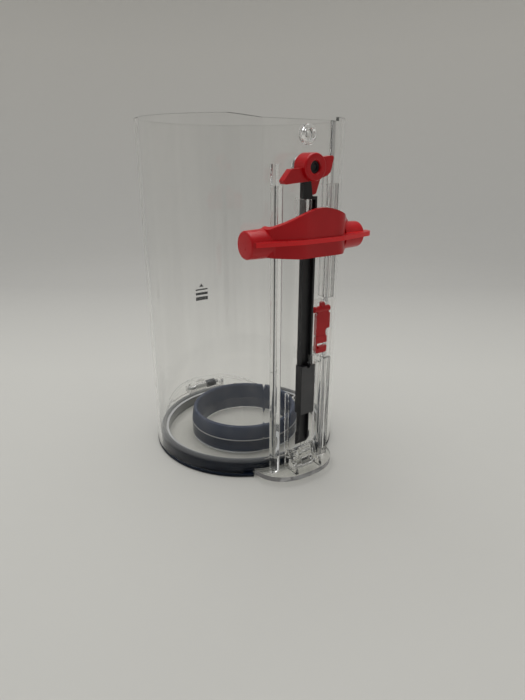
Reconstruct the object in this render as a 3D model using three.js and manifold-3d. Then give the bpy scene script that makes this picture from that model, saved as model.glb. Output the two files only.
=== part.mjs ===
// Clear dust bin of a cordless stick vacuum cleaner: a round clear body with a flat runner panel,
// a hinged base flap, and the rod, handle, rocker, catch and release button that ride on the runner.
// Millimetres. Origin at the centre of the foot, +Z up, the runner faces -Y and the flap hinge is at +Y.
import * as THREE from "three";
import { mergeVertices } from "three/addons/utils/BufferGeometryUtils.js";
import Module from "manifold-3d";

const wasm = await Module();
wasm.setup();

// ---------------------------------------------------------------- driving dimensions
const BODY = { r: 58.5, wall: 2, bottom: 2.3, top: 196, ledge: 12, rimDrop: 2, rimHalf: 27.6 };
const PANEL = { r: 54.6 };
const RAIL = { in: 15.2, out: 17.4, lip: 20, r: 61.5, lipR: 59.7, bottom: 5.4, top: 164, finTop: 173.7 };
const HINGE = { y: 64, z: 9.6, pinR: 1.6, bore: 1.66, from: -12.2, to: 16.2 };
const ARM = { from: -7.4, to: 3.1, knuckle: 4, back: 3, gap: 0.4 };
const HOOD = { half: 41.5, arch: 19.4, lean: 0.42, apex: 70.5, wall: 1.6, bottom: 4 };
const RIB = { in: 5.6, out: 6.6, r: 58, top: 50 };
const BOSS = { x: 4, z: 187.1, r: 4.7, hollow: 3, nub: 1.4, face: 57.2 };
const FLAP = { plate: 2.2, r: 54.6, rim: 58.4, carrierIn: 51.4, carrierOut: 53.1, carrierTop: 8 };
const SPIGOT = { in: 29.8, out: 31.1, top: 9 };
const COLLAR = { skirtIn: 31.4, skirtOut: 32.9, ringIn: 33.2, r: 34.6, ringTop: 11.2, top: 20 };
const TOE = { nose: 72.2, root: 50, half: 26, power: 2.4, bottom: 2, top: 5, sector: 27 };
const ROD = { half: 4, back: 61.6, front: 64.6, groove: 2.8, web: 1, foot: 19, top: 166, shoulder: 158.5 };
const BLOCK = { half: 4.6, front: 67, bottom: 40.5, top: 69.5 };
const HANDLE = { front: 75, corner: 14, wall: 2.3, half: 29, shoulder: 145.3, crown: 8.7, bottom: 130.6 };
const WING = { z: 137.8, r: 7.3, axis: 63, root: 20, left: 38.6, right: 33.6 };
const FIN = { low: 137.5, high: 139.8, half: 38.3, nose: 76.2 };
const ROCKER = { z: 172.2, hub: 6.1, bore: 3.45, back: 58.6, front: 67.3 };
const BUTTON = { back: 59.2, front: 61.2, x0: 7.2, x1: 19.4, pivotZ: 98.2, trunnion: 1.7 };
const POCKET = { x0: 6.4, x1: 20.2, z0: 68.2, z1: 105, r: 61.5, wall: 1.1 };
const GUIDE = { back: 59.9, front: 66.6, out: 6.1, post: 4.6, lip: 1.6 };
const CATCH = { r: 66, z: 6.8, pinR: 0.8, bore: 0.86, top: 18.4 };
const GAP = 0.3;
const FULL = 2 * Math.PI;
const ROUND = 64; // facets of the large rings

// ---------------------------------------------------------------- solids and meshes
function solid(geometry) {
  const bare = geometry.index ? geometry.toNonIndexed() : geometry.clone();
  bare.deleteAttribute("normal");
  bare.deleteAttribute("uv");
  const merged = mergeVertices(bare, 1e-4);
  return new wasm.Manifold(
    new wasm.Mesh({
      numProp: 3,
      vertProperties: merged.attributes.position.array,
      triVerts: new Uint32Array(merged.index.array),
    }),
  );
}

const join = (...pieces) => pieces.reduce((whole, piece) => whole.add(piece));
const cut = (whole, ...tools) => tools.reduce((rest, tool) => rest.subtract(tool), whole);

function geometryOf(body) {
  const { numProp, vertProperties, triVerts } = body.getMesh();
  const xyz = new Float32Array((vertProperties.length / numProp) * 3);
  for (let i = 0; i < xyz.length / 3; i++) {
    xyz.set(vertProperties.subarray(i * numProp, i * numProp + 3), i * 3);
  }
  return new THREE.BufferGeometry()
    .setAttribute("position", new THREE.BufferAttribute(xyz, 3))
    .setIndex(new THREE.BufferAttribute(triVerts, 1));
}

// A box between two corners. Runner pieces give their depth as a distance r in front of the axis.
function box(x0, x1, y0, y1, z0, z1) {
  const g = new THREE.BoxGeometry(x1 - x0, y1 - y0, z1 - z0);
  return solid(g.translate((x0 + x1) / 2, (y0 + y1) / 2, (z0 + z1) / 2));
}
const front = (x0, x1, r0, r1, z0, z1) => box(x0, x1, -r1, -r0, z0, z1);

function extrude(shape, depth, curveSegments = 6) {
  return new THREE.ExtrudeGeometry(shape, { depth, bevelEnabled: false, curveSegments });
}
// Outline in plan (x, y), raised from z0 to z1.
const plan = (shape, z0, z1, segments) => solid(extrude(shape, z1 - z0, segments).translate(0, 0, z0));
// Outline seen from the front (x, z), between the depths r0 and r1 in front of the axis.
const facing = (shape, r0, r1, segments) =>
  solid(extrude(shape, r1 - r0, segments).rotateX(Math.PI / 2).translate(0, -r0, 0));
// Outline in side view (r, z), between x0 and x1.
function sideways(points, x0, x1) {
  const shape = outline(points.map(([r, z]) => [-r, z]));
  const g = extrude(shape, x1 - x0);
  g.applyMatrix4(new THREE.Matrix4().set(0, 0, 1, x0, 1, 0, 0, 0, 0, 1, 0, 0, 0, 0, 0, 1));
  return solid(g);
}

function outline(points) {
  return new THREE.Shape(points.map(([u, v]) => new THREE.Vector2(u, v)));
}

// A closed profile of (radius, height) points turned about Z.
function turned(points, segments = ROUND) {
  const ring = points.map(([r, z]) => new THREE.Vector2(r, z));
  if (THREE.ShapeUtils.isClockWise(ring)) ring.reverse();
  return solid(new THREE.LatheGeometry([...ring, ring[0]], segments).rotateX(Math.PI / 2));
}
const tube = (r0, r1, z0, z1, segments) => turned([[r0, z0], [r1, z0], [r1, z1], [r0, z1]], segments);
function disc(r, z0, z1, segments = ROUND) {
  const g = new THREE.CylinderGeometry(r, r, z1 - z0, segments).rotateX(Math.PI / 2);
  return solid(g.translate(0, 0, (z0 + z1) / 2));
}

// A round bar along X or along Y.
function barX(r, x0, x1, y, z, segments = 24) {
  const g = new THREE.CylinderGeometry(r, r, x1 - x0, segments).rotateZ(Math.PI / 2);
  return solid(g.translate((x0 + x1) / 2, y, z));
}
const barY = (r, r0, r1, x, z, segments = 24) =>
  solid(new THREE.CylinderGeometry(r, r, r1 - r0, segments).translate(x, -(r0 + r1) / 2, z));

// Everything in front of the axis within a half angle, as a wedge.
function wedge(halfAngle, z0, z1, reach = 90) {
  const a = THREE.MathUtils.degToRad(halfAngle);
  const end = [reach * Math.sin(a), -reach * Math.cos(a)];
  return plan(outline([[0, 0], [-end[0], end[1]], [0, -reach * 1.4], end].reverse()), z0, z1);
}

// Round wire along a coil: the coil runs along +Z from z0 to z1 and is then placed by a matrix.
function coil(radius, wire, turns, z0, z1, place, steps = 10) {
  class Helix extends THREE.Curve {
    getPoint(u, target = new THREE.Vector3()) {
      const angle = FULL * turns * u;
      return target.set(radius * Math.cos(angle), radius * Math.sin(angle), z0 + (z1 - z0) * u);
    }
  }
  const section = new THREE.Shape();
  section.absarc(0, 0, wire, 0, FULL);
  const g = new THREE.ExtrudeGeometry(section, {
    steps: Math.ceil(turns * steps),
    curveSegments: 3,
    extrudePath: new Helix(),
    bevelEnabled: false,
  });
  return solid(g.applyMatrix4(place));
}

const at = (x, y, z) => new THREE.Matrix4().makeTranslation(x, y, z);
const alongX = (x, y, z) => at(x, y, z).multiply(new THREE.Matrix4().makeRotationY(Math.PI / 2));
const alongFront = (x, r, z) => at(x, -r, z).multiply(new THREE.Matrix4().makeRotationX(Math.PI / 2));

// Plan outline of the body: a circle with its front cut flat, both moved in by the same inset.
function bodyOutline(inset) {
  const r = BODY.r - inset;
  const flat = PANEL.r - inset;
  const start = Math.asin(-flat / r);
  const shape = new THREE.Shape();
  shape.absarc(0, 0, r, start, Math.PI - start, false);
  return shape;
}

// ---------------------------------------------------------------- clear body
// Round bulge in plan through the two sides of the hood and its apex, under an arched roof that leans down
// outwards.
function hoodBlock(inset, bottom) {
  const sideY = Math.sqrt(BODY.r ** 2 - HOOD.half ** 2);
  const sag = HOOD.apex - sideY;
  const bulge = (HOOD.half ** 2 + sag ** 2) / (2 * sag);
  const arch = (HOOD.half ** 2 + HOOD.arch ** 2) / (2 * HOOD.arch);
  const round = disc(bulge - inset, bottom, HOOD.arch + 1).translate([0, HOOD.apex - bulge, 0]);
  const lean = new THREE.Matrix4().makeShear(0, 0, 0, -HOOD.lean, 0, 0);
  const bar = new THREE.CylinderGeometry(arch - inset, arch - inset, 50, ROUND).translate(0, 55 - BODY.r, 0);
  const roof = solid(bar.applyMatrix4(lean).translate(0, BODY.r, HOOD.arch - arch));
  return round.intersect(roof);
}

// Two distances from the middle plane as an x range on one side of it.
const onSide = (side, a, b) => (side > 0 ? [a, b] : [-b, -a]);

// One rail of the runner: web, lip, the fin on its top and the rib along its root.
function rail(side) {
  const root = PANEL.r - 1;
  const ribTop = 69;
  return join(
    front(...onSide(side, RAIL.in, RAIL.out), root, RAIL.r, RAIL.bottom, RAIL.top),
    front(...onSide(side, RAIL.in, RAIL.lip), RAIL.lipR, RAIL.r, RAIL.bottom, RAIL.top),
    front(...onSide(side, RAIL.in + 0.4, RAIL.out - 0.6), root, RAIL.lipR - 1, RAIL.top - 1, RAIL.finTop),
    front(...onSide(side, RAIL.in - 0.6, RAIL.out), root, RAIL.r - 1.8, RAIL.bottom, ribTop),
  );
}

// A clip that holds the rod: a stem off the panel, a plate behind the rod, a post beside it, a lip over it.
function rodGuide(side, z0, z1) {
  const { back, front: face, out, post, lip } = GUIDE;
  return join(
    front(...onSide(side, 0.8, 2.4), PANEL.r + GAP, back + 0.5, z0, z1),
    front(...onSide(side, 0.8, out), back, ROD.back - GAP, z0, z1),
    front(...onSide(side, post, out), back, face, z0, z1),
    front(...onSide(side, lip, out), ROD.front + 0.5, face, z0, z1),
  );
}

function pocketFrame() {
  const { x0, x1, z0, z1, r, wall } = POCKET;
  const outer = facing(roundedRect(x0, x1, z0, z1, 3), PANEL.r - 1, r);
  const inner = facing(roundedRect(x0 + wall, x1 - wall, z0 + wall, z1 - wall, 2), PANEL.r, r + 1);
  const axis = -(BUTTON.back + BUTTON.front) / 2;
  const seats = barX(BUTTON.trunnion + 0.1, x0 + 0.3, x1 - 0.3, axis, BUTTON.pivotZ, 32);
  return cut(outer, inner, seats);
}

function roundedRect(x0, x1, z0, z1, r) {
  const shape = new THREE.Shape();
  shape.moveTo(x0 + r, z0);
  shape.lineTo(x1 - r, z0);
  shape.absarc(x1 - r, z0 + r, r, -Math.PI / 2, 0);
  shape.absarc(x1 - r, z1 - r, r, 0, Math.PI / 2);
  shape.absarc(x0 + r, z1 - r, r, Math.PI / 2, Math.PI);
  shape.absarc(x0 + r, z0 + r, r, Math.PI, Math.PI * 1.5);
  return shape;
}

function binShell() {
  const { r, wall, bottom, top, ledge } = BODY;
  const skirt = tube(r - wall, r, bottom, ledge);
  const floor = plan(roundHole(r, bodyOutline(wall)), ledge - 1.6, ledge, ROUND / 2);
  const outer = bodyOutline(0);
  outer.holes.push(bodyOutline(wall));
  const wallUp = plan(outer, ledge - 0.8, top, ROUND / 2);
  const hood = cut(
    hoodBlock(0, HOOD.bottom),
    hoodBlock(HOOD.wall, 0),
    disc(r - 1, 0, 40),
    box(ARM.from - ARM.gap, ARM.to + ARM.gap, r + 0.4, 80, 0, 12.2),
  );
  const ears = [[HINGE.from - 0.4, ARM.from - ARM.gap], [12.8, HINGE.to + 0.4]].map(([x0, x1]) =>
    box(x0, x1, r - 1, HOOD.apex, HINGE.z - 2.8, HOOD.arch).intersect(hoodBlock(0.6, 3)),
  );
  const boss = cut(
    barY(BOSS.r, PANEL.r - 1, BOSS.face, BOSS.x, BOSS.z),
    barY(BOSS.hollow, PANEL.r + 0.6, 60, BOSS.x, BOSS.z),
  );
  const nub = barY(BOSS.nub, PANEL.r - 1, BOSS.face - 0.6, BOSS.x, BOSS.z, 16);
  const pegSeat = cut(barY(4.6, PANEL.r - 1, ROCKER.back - GAP, 0, ROCKER.z), barY(2.1, 55, 60, 0, ROCKER.z));
  const strikers = [-6.6, 4.6].map((x) => front(x, x + 2, r - 1.2, 60.3, ledge - 1.8, ledge));
  const ribs = [-1, 1].map((side) =>
    front(...onSide(side, RIB.in, RIB.out), PANEL.r - 1, RIB.r, ledge - 0.8, RIB.top),
  );
  const springRest = front(-1.2, 1.2, PANEL.r - 1, 65.6, 44.6, 46.6);
  const rightRail = cut(rail(1), front(14, RAIL.lip + 0.6, PANEL.r, 63, POCKET.z0 + 0.5, POCKET.z1 - 0.5));
  const body = join(
    skirt, floor, wallUp, hood, ...ears, rail(-1), rightRail, pocketFrame(), boss, nub, pegSeat,
    ...strikers, ...ribs, springRest,
  );
  return cut(
    body,
    front(-BODY.rimHalf, BODY.rimHalf, 40, 62, top - BODY.rimDrop, top + 1),
    disc(r - wall, 0, ledge - 1.6),
    wedge(TOE.sector + 6, 0, RAIL.bottom - 0.1, 64),
    box(-39, 39, 38, 60, 0, 5.8),
    barX(HINGE.bore, HINGE.from - 1, HINGE.to + 1, HINGE.y, HINGE.z),
  );
}

// A disc of radius r with one shaped hole.
function roundHole(r, hole) {
  const shape = new THREE.Shape();
  shape.absarc(0, 0, r, 0, FULL, false);
  shape.holes.push(hole);
  return shape;
}

// ---------------------------------------------------------------- base flap and its seals
// Plan outline of the toe: half a superellipse.
function toeOutline() {
  const points = [];
  for (let i = 0; i <= 36; i++) {
    const turn = Math.PI * (1 + i / 36);
    const along = Math.cos(turn);
    const ahead = Math.abs(Math.sin(turn)) ** (2 / TOE.power);
    const across = Math.sign(along) * Math.abs(along) ** (2 / TOE.power);
    points.push([TOE.half * across, -TOE.root - (TOE.nose - TOE.root) * ahead]);
  }
  return outline(points);
}

function baseFlap() {
  const plate = disc(FLAP.r, 0, FLAP.plate);
  const carrier = tube(FLAP.carrierIn, FLAP.carrierOut, FLAP.plate - 0.5, FLAP.carrierTop);
  const spigot = tube(SPIGOT.in, SPIGOT.out, FLAP.plate - 0.5, SPIGOT.top);
  const apron = disc(FLAP.rim, 0, FLAP.plate).intersect(wedge(TOE.sector - 1, -1, 9, 64));
  const toe = cut(plan(toeOutline(), TOE.bottom, TOE.top), disc(56.6, 0, 9));
  const ring = cut(disc(FLAP.rim, 0, TOE.top), disc(56.6, -1, 9));
  const riser = ring.intersect(wedge(TOE.sector - 1, -1, 9, 64));
  const cheek = [[59.6, 4.5], [70.2, 4.5], [69, 9.2], [66, 11.4], [63.4, 15.4], [60.4, 16.6], [59.6, 15.8]];
  const cheeks = [-9.4, 7.6].map((x) =>
    cut(sideways(cheek, x, x + 1.8), barX(CATCH.bore, x - 1, x + 3, -CATCH.r, CATCH.z, 16)),
  );
  const arm = cut(
    join(
      box(ARM.from, ARM.to, 53, HINGE.y, 0, FLAP.plate),
      box(ARM.from, ARM.to, HINGE.y - ARM.back, HINGE.y, 0, HINGE.z),
      barX(ARM.knuckle, ARM.from, ARM.to, HINGE.y, HINGE.z),
    ),
    barX(HINGE.bore, ARM.from - 1, ARM.to + 1, HINGE.y, HINGE.z),
  );
  return join(plate, carrier, spigot, apron, toe, riser, ...cheeks, arm);
}

function baseSeal() {
  const bead = FLAP.plate + GAP;
  const inner = FLAP.carrierOut + GAP;
  const band = turned([[inner, bead], [55.7, bead], [55.7, 7.2], [54.9, 9.2], [54.1, 9.6], [inner, 9]]);
  const lip = turned([
    [FLAP.r + GAP, 0.3], [58.6, 0.3], [58.6, 1.9], [56.2, 1.9], [55.6, 2.6], [FLAP.r + GAP, 2.6],
  ]);
  const armGap = box(ARM.from - ARM.gap, ARM.to + ARM.gap, 50, 60, -1, 9);
  return join(band, cut(lip, wedge(TOE.sector, -1, 9, 64), armGap));
}

const collarSeal = () =>
  turned([
    [COLLAR.skirtIn, 3], [COLLAR.skirtOut, 3], [COLLAR.skirtOut, 11.5], [COLLAR.r, 11.5],
    [COLLAR.r, 18.6], [33.8, COLLAR.top], [32.2, COLLAR.top], [COLLAR.skirtIn, 18.8],
  ]);

const collarRing = () => tube(COLLAR.ringIn, COLLAR.r, FLAP.plate + GAP, COLLAR.ringTop);

// ---------------------------------------------------------------- rod, handle, rocker
function pushrod() {
  const { half, back, front: face, groove, web, foot, top, shoulder } = ROD;
  const channel = cut(
    front(-half, half, back, face, foot, shoulder),
    front(-groove, groove, back + web, face + 1, foot - 1, shoulder - 1.5),
  );
  const neck = shoulder - 0.5;
  const head = facing(outline([[-half, neck], [0.4, neck], [-1, top], [-half, top]]), back, face);
  const block = front(-BLOCK.half, BLOCK.half, back, BLOCK.front, BLOCK.bottom, BLOCK.top);
  const lug = front(-3, 3, back, 66.8, 133.2, 135);
  const scoop = facing(roundedRect(-2.4, 2.4, BLOCK.top - 2.6, BLOCK.top + 20, 2.3), back + web, 70);
  const springPocket = front(-2.3, 2.3, back - 1, 65.9, 42.2, 66);
  const waist = [-1, 1].map((s) =>
    facing(outline([[s * 3.3, 27.5], [s * 5, 26], [s * 5, 40.5], [s * 3.3, 40.5]]), back - 1, face + 1),
  );
  const toeBevel = sideways([[62.6, foot - 1], [66, foot - 1], [66, foot + 3.4], [62.6, foot]], -5, 5);
  return cut(join(cut(join(channel, block), scoop), head, lug), springPocket, toeBevel, ...waist);
}

// Height of the hump's top edge across its width.
function handleTop(x) {
  const share = Math.min(Math.abs(x) / HANDLE.half, 1);
  return HANDLE.shoulder + HANDLE.crown * Math.cos((share * Math.PI) / 2) ** 1.6;
}

// The hump is a wall round a flat front, with a soft corner on its right and a sloping shoulder on its left.
function handleHump() {
  const ring = (inset) => {
    const f = HANDLE.front - inset;
    const c = HANDLE.corner - inset * 0.45;
    const round = 4.5 - inset * 0.6;
    const right = 27 - inset;
    const left = 28 - inset;
    const shape = new THREE.Shape();
    shape.moveTo(right, -55.9);
    shape.lineTo(right, -63 + inset * 0.3);
    shape.quadraticCurveTo(c + 6, -f + 6.4, c + round * 0.55, -f + round * 0.62);
    shape.quadraticCurveTo(c, -f, c - round, -f);
    shape.lineTo(-9.5, -f);
    shape.quadraticCurveTo(-15.5 + inset * 0.3, -f + 0.2, -left + 3, -70.2 + inset);
    shape.quadraticCurveTo(-left, -69.2 + inset, -left, -65.5);
    shape.lineTo(-left, -55.9);
    return shape;
  };
  const { half, corner, bottom } = HANDLE;
  const steps = 20;
  const across = Array.from({ length: steps + 1 }, (_, i) => half * ((2 * i) / steps - 1));
  const crest = across.map((x) => [x, handleTop(x)]);
  const below = [[half, bottom + 1.2], [corner, bottom], [-corner, bottom], [-half, bottom + 1.2]];
  const face = facing(outline([...crest, ...below]), 50, 80);
  const walls = cut(plan(ring(0), 125, 160), plan(ring(HANDLE.wall), 124, 161));
  const behind = front(-21.2, 21.2, 50, 62.6, 120, 160);
  const leftBack = front(-30, -22.8, 50, 61.5, 140, 160);
  return cut(walls.intersect(face), behind, leftBack);
}

// A round wing on one side, with a rounded end.
function wing(side) {
  const { z, r, axis, root, left, right } = WING;
  const end = side > 0 ? right : left;
  const profile = [[0, 0], [r - 1.6, 0], [r - 0.5, 0.45], [r, 1.6], [r, end - root], [0, end - root]];
  const lathe = new THREE.LatheGeometry(profile.map(([u, h]) => new THREE.Vector2(u, h)), 36);
  return solid(lathe.rotateZ((side * Math.PI) / 2).translate(side * end, -axis, z));
}

// The thin fin round the front of the grip.
function fin() {
  const { low, high, half, nose } = FIN;
  const shape = new THREE.Shape();
  shape.moveTo(half, -65);
  shape.quadraticCurveTo(half + 0.3, -70.4, 34, -71.4);
  shape.quadraticCurveTo(20, 1.8 - nose, 12, -nose);
  shape.lineTo(-12, -nose);
  shape.quadraticCurveTo(-20, 1.8 - nose, -34, -71.4);
  shape.quadraticCurveTo(-half - 0.3, -70.4, -half, -65);
  const inside = [[28, -50], [21.2, -66], [12.4, -72.8], [-12.4, -72.8], [-21.2, -66], [-28, -50]];
  return cut(plan(shape, low, high), plan(outline(inside), low - 5, high + 5));
}

function handle() {
  const claws = [-1, 1].map((side) =>
    join(
      front(...onSide(side, 20.5, 22.6), 57.4, 66.5, 132, 144.6),
      front(...onSide(side, 18, 20.8), 57.4, 59.3, 132, 144.6),
    ),
  );
  const presser = front(-5, 5, 65.2, 73.6, 135.4, 138.4);
  return join(handleHump(), wing(-1), wing(1), fin(), ...claws, presser);
}

function rocker() {
  const { z, hub, bore, back, front: face } = ROCKER;
  const arm = (points, r0, r1) => facing(outline(points.map(([x, dz]) => [x, z + dz])), r0, r1);
  const right = arm([[4, 4.9], [12.2, 4.6], [12.3, -0.3], [11.4, -2.9], [9, -4.6], [2, -5.6]], 61.6, 65.6);
  const left = arm([[-2, -0.6], [-13.2, -0.8], [-17, -6.1], [-16.2, -7], [-2, -6]], 61.6, 65.6);
  const leg = arm([[-0.2, -4], [0.9, -12.3], [3, -12.6], [5.4, -4.6]], 60.4, 64.4);
  const ring = barY(hub, back, face, 0, z, 40);
  return cut(join(ring, right, left, leg), barY(bore, back - 1, face + 1, 0, z, 40));
}

const rockerPeg = () =>
  join(
    barY(2, 55.9, 60, 0, ROCKER.z, 24),
    barY(ROCKER.bore - 0.08, ROCKER.back - 0.1, 66.3, 0, ROCKER.z, 40),
  );

// ---------------------------------------------------------------- release button and catch
function releaseButton() {
  const { back, front: face, x0, x1, pivotZ, trunnion } = BUTTON;
  const middle = (x0 + x1) / 2;
  const slab = (u0, u1, z0, z1, r) => facing(roundedRect(u0, u1, z0, z1, r), back, face);
  const plate = join(
    barX(trunnion, x0 + 0.4, x1 - 0.4, -(back + face) / 2, pivotZ, 32),
    slab(x0 + 1, x1 - 1, pivotZ - 2.1, pivotZ + 2.1, 2),
    slab(middle - 0.3, middle + 1.3, pivotZ + 1, 102, 0.6),
    slab(11, 17.6, 92.5, pivotZ, 0.4),
    slab(9.8, 18.8, 83, 95.6, 0.7),
    slab(8.4, 18.6, 71.4, 83.8, 2.2),
  );
  const notch = facing(outline([[20, 81.7], [20, 86.3], [17, 85.7], [17, 83.6]]), back - 1, face + 1);
  const slot = join(
    front(10.5, 17.6, back - 1, face + 1, 76.4, 78.4),
    front(10.5, 11.7, back - 1, face + 1, 75, 78.4),
  );
  return cut(plate, notch, slot);
}

function baseCatch() {
  const lever = sideways(
    [[62, 11], [65, CATCH.top], [66.8, CATCH.top], [67.6, 8], [66.6, 5.9], [62.2, 6.4], [61.4, 9]],
    -3.6, 3.6,
  );
  const prong = [[60.6, 15.6], [60.6, 12.8], [62, 11.8], [62.2, 8.6], [65.6, 8.6], [64, 12], [63, 15.6]];
  const prongs = [-6.5, 4.7].map((x) => sideways(prong, x, x + 1.8));
  const lug = [[61.9, 7.4], [62.3, 10.4], [66.6, 10.4], [67.4, 8], [66.6, 6], [62.2, 6.4]];
  const bridge = sideways(lug, -7, 5.2);
  return cut(join(lever, bridge, ...prongs), barX(CATCH.bore, -9, 9, -CATCH.r, CATCH.z, 16));
}

// ---------------------------------------------------------------- springs
const rodSpring = () => coil(1.55, 0.32, 7.5, 47.2, 65.4, at(0, -64, 0));
const hingeSpring = () => coil(2.45, 0.45, 7, 4.4, 12.2, alongX(0, HINGE.y, HINGE.z), 12);
const rockerSpring = () => coil(5.2, 0.3, 2.5, 0, 1.9, alongFront(0, 55.6, ROCKER.z), 14);
const buttonSpring = () => coil(1.7, 0.25, 4, 0, 3.4, alongFront(13.5, 55.3, 73.6));
const catchSpring = () => coil(1.1, 0.18, 3, 5.6, 7.2, alongX(0, -CATCH.r, CATCH.z));

// ---------------------------------------------------------------- materials and the assembly
const clear = () => new THREE.MeshStandardMaterial({ color: 0xe9edee, roughness: 0.08, metalness: 0 });
const red = () => new THREE.MeshStandardMaterial({ color: 0xc8161d, roughness: 0.35, metalness: 0 });
const black = () => new THREE.MeshStandardMaterial({ color: 0x25262a, roughness: 0.45, metalness: 0 });
const slate = () => new THREE.MeshStandardMaterial({ color: 0x3c4450, roughness: 0.7, metalness: 0 });
const rubber = () => new THREE.MeshStandardMaterial({ color: 0x17181c, roughness: 0.6, metalness: 0 });
const steel = () => new THREE.MeshStandardMaterial({ color: 0x8d9094, roughness: 0.3, metalness: 1 });

const PIECES = [
  ["bin_shell", binShell, clear],
  ["base_flap", baseFlap, clear],
  ["base_seal", baseSeal, rubber],
  ["collar_seal", collarSeal, slate],
  ["collar_ring", collarRing, clear],
  ["pushrod", pushrod, black],
  ["handle", handle, red],
  ["rocker", rocker, red],
  ["rocker_peg", rockerPeg, black],
  ["release_button", releaseButton, red],
  ["base_catch", baseCatch, clear],
  ["rod_guide_upper", () => rodGuide(-1, 149, 157.5), clear],
  ["rod_guide_lower", () => rodGuide(1, 69.9, 75), clear],
  ["hinge_pin", () => barX(HINGE.pinR, HINGE.from, HINGE.to, HINGE.y, HINGE.z), steel],
  ["catch_pin", () => barX(CATCH.pinR, -9.2, 9.2, -CATCH.r, CATCH.z, 16), steel],
  ["hinge_spring", hingeSpring, steel],
  ["rod_spring", rodSpring, steel],
  ["rocker_spring", rockerSpring, steel],
  ["button_spring", buttonSpring, steel],
  ["catch_spring", catchSpring, steel],
];

const bin = new THREE.Group();
for (const [name, build, material] of PIECES) {
  const mesh = new THREE.Mesh(geometryOf(build()), material());
  mesh.name = name;
  bin.add(mesh);
}

export default bin;
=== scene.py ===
"""Looks of a clear dust bin from a cordless stick vacuum cleaner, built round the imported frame.

Sizes are in millimetres in the functions that shape a piece, and in metres in Blender. The runner and its
handle face -Y, the flap's hinge is at +Y, and r means the distance in front of the body's axis (r = -y).
"""
import math

import bmesh
import bpy
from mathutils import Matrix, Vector


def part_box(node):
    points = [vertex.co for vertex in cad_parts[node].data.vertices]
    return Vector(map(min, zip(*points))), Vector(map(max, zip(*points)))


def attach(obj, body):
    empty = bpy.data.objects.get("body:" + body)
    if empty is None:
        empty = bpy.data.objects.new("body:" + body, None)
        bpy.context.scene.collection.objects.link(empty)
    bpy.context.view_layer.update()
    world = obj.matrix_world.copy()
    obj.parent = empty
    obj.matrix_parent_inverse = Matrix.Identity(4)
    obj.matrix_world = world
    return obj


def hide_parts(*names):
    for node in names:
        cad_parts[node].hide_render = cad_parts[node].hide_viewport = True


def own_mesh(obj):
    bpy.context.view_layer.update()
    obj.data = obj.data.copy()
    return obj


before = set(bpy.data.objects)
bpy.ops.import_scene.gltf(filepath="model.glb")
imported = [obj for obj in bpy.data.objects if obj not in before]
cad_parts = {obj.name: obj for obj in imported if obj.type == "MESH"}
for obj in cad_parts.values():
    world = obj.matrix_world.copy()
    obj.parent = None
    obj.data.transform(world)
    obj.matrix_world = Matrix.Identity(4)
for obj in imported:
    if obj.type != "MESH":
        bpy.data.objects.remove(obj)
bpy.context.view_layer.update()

MM = 0.001


def span(node):
    """Lowest and highest corner of a CAD node, in millimetres."""
    low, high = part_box(node)
    return low / MM, high / MM


# ------------------------------------------------------------------ sizes taken from the frame
SHELL_LOW, SHELL_HIGH = span("bin_shell")
FLAP_LOW = span("base_flap")[0]
ROD_LOW, ROD_HIGH = span("pushrod")
HANDLE_LOW, HANDLE_HIGH = span("handle")
BUTTON_LOW, BUTTON_HIGH = span("release_button")
BUTTON_Z = 98.2
PIN_LOW, PIN_HIGH = span("hinge_pin")
BODY_R = SHELL_HIGH.x
BODY_TOP = SHELL_HIGH.z
BODY_LOW = SHELL_LOW.z
HOOD_APEX = SHELL_HIGH.y
PANEL_R = 54.6
HOOD_HALF, HOOD_ARCH, HOOD_LEAN = 41.5, 19.4, 0.42
ARM_X0, ARM_X1, KNUCKLE_R = -7.4, 3.1, 4.0
BOSS_X, BOSS_Z, BOSS_FACE = 4.0, 187.1, 57.2
RIB_TOP = 50.0
WALL = 2.0
LEDGE = 12.0
HINGE_Y = (PIN_LOW.y + PIN_HIGH.y) / 2
HINGE_Z = (PIN_LOW.z + PIN_HIGH.z) / 2
RAIL_R = 61.5
RAIL_TOP = 164.0
RAIL_FOOT = 5.4
ROCKER_Z = 172.2
CATCH_R = 66.0
CATCH_Z = 6.8
TOE_SECTOR = 27.0
TOE_ROOT = 50.0
HINGE_BORE = 1.66
CATCH_BORE = 0.86
PEG_BORE = 3.45
FIN_SEAT = 70.35
FINE = 256  # facets of a large ring
ROOM_GREY = (0.36, 0.36, 0.345)
DEEPEST_RAY = 8  # a ray still inside the plastic after this many hits takes the room's grey as a painted glow
CORNER_SHADE_LEFT, CORNER_SHADE_RIGHT = (0.0198, 0.0204), (0.0238, 0.0246)  # where the painted grey corner shade fades, in metres
ABSORPTION = 1.5  # per metre, so a long ray along the wall darkens and a ray through it hardly does


# ------------------------------------------------------------------ outlines
def arc(cx, cy, r, start, end, steps):
    """Points of an arc, with angles in degrees."""
    turn = [math.radians(start + (end - start) * i / steps) for i in range(steps + 1)]
    return [(cx + r * math.cos(a), cy + r * math.sin(a)) for a in turn]


def circle(r, steps=FINE, cx=0.0, cy=0.0):
    return arc(cx, cy, r, 0, 360, steps)[:-1]


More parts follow.
